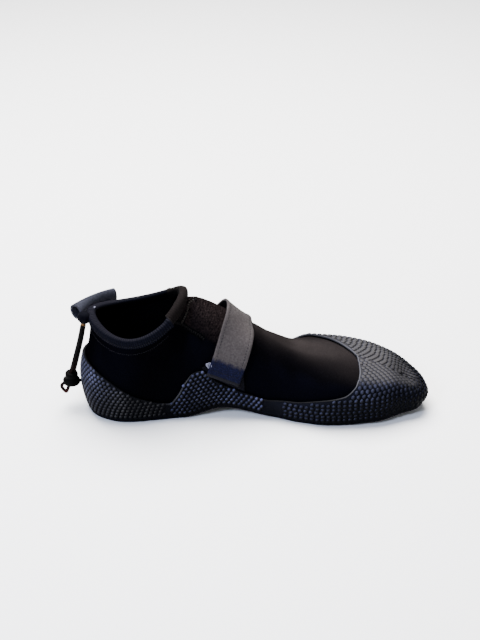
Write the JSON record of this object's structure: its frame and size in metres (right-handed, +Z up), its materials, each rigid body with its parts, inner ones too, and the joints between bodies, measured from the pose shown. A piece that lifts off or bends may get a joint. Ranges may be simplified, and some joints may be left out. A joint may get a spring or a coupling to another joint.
{
  "type": "wetsuit bootie",
  "caption": "Low neoprene wetsuit bootie with a moulded rubber sole, toe cap and heel counter, a webbing instep strap, a folded ankle hem, a pull loop and a hanging drawcord.",
  "frame": {"origin": "on the floor, under the middle of the box round the shoe without its hanging drawcord", "axes": "+X from the heel to the toe, +Y to the outer side of the foot, +Z up from the floor"},
  "size_m": [0.2924, 0.089, 0.1006],
  "materials": {
    "rubber": "matt, moulded with small studs",
    "neoprene": "matt knitted face",
    "insole_foam": "matt",
    "hem": "matt, stretched knit",
    "webbing": "woven",
    "patch": "brushed loop pile",
    "loop_strip": "woven",
    "cord_rubber": "satin",
    "elastic_cord": "braided"
  },
  "bodies": {
    "root": {"outsole": "rubber", "upper": "neoprene", "insole": "insole_foam", "collar_binding": "hem", "instep_strap": "webbing", "strap_patch": "patch", "pull_loop": "loop_strip", "cord_outlet": "cord_rubber", "drawcord_a": "elastic_cord", "drawcord_b": "elastic_cord", "cord_end": "cord_rubber", "cord_loop": "elastic_cord"}
  },
  "joints": []
}
